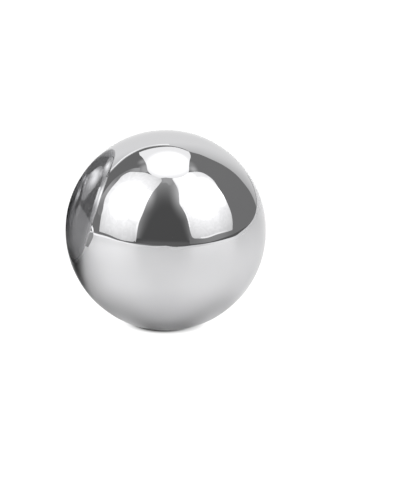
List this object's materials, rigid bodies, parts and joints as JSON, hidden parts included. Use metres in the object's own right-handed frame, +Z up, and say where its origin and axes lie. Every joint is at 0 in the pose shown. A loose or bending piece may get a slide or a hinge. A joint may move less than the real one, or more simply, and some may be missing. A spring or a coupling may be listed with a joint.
{
  "type": "steel ball",
  "caption": "Solid steel ball, 55 mm in diameter, ground to a true sphere and polished to a mirror, with no hole, flat or seam.",
  "frame": {"origin": "centre of the ball", "axes": "+Z up. The ball is the same in every direction, so X and Y only follow the row's own frame"},
  "size_m": [0.055, 0.055, 0.055],
  "materials": {
    "polished_steel": "polished"
  },
  "bodies": {
    "root": {"ball": "polished_steel"}
  },
  "joints": []
}
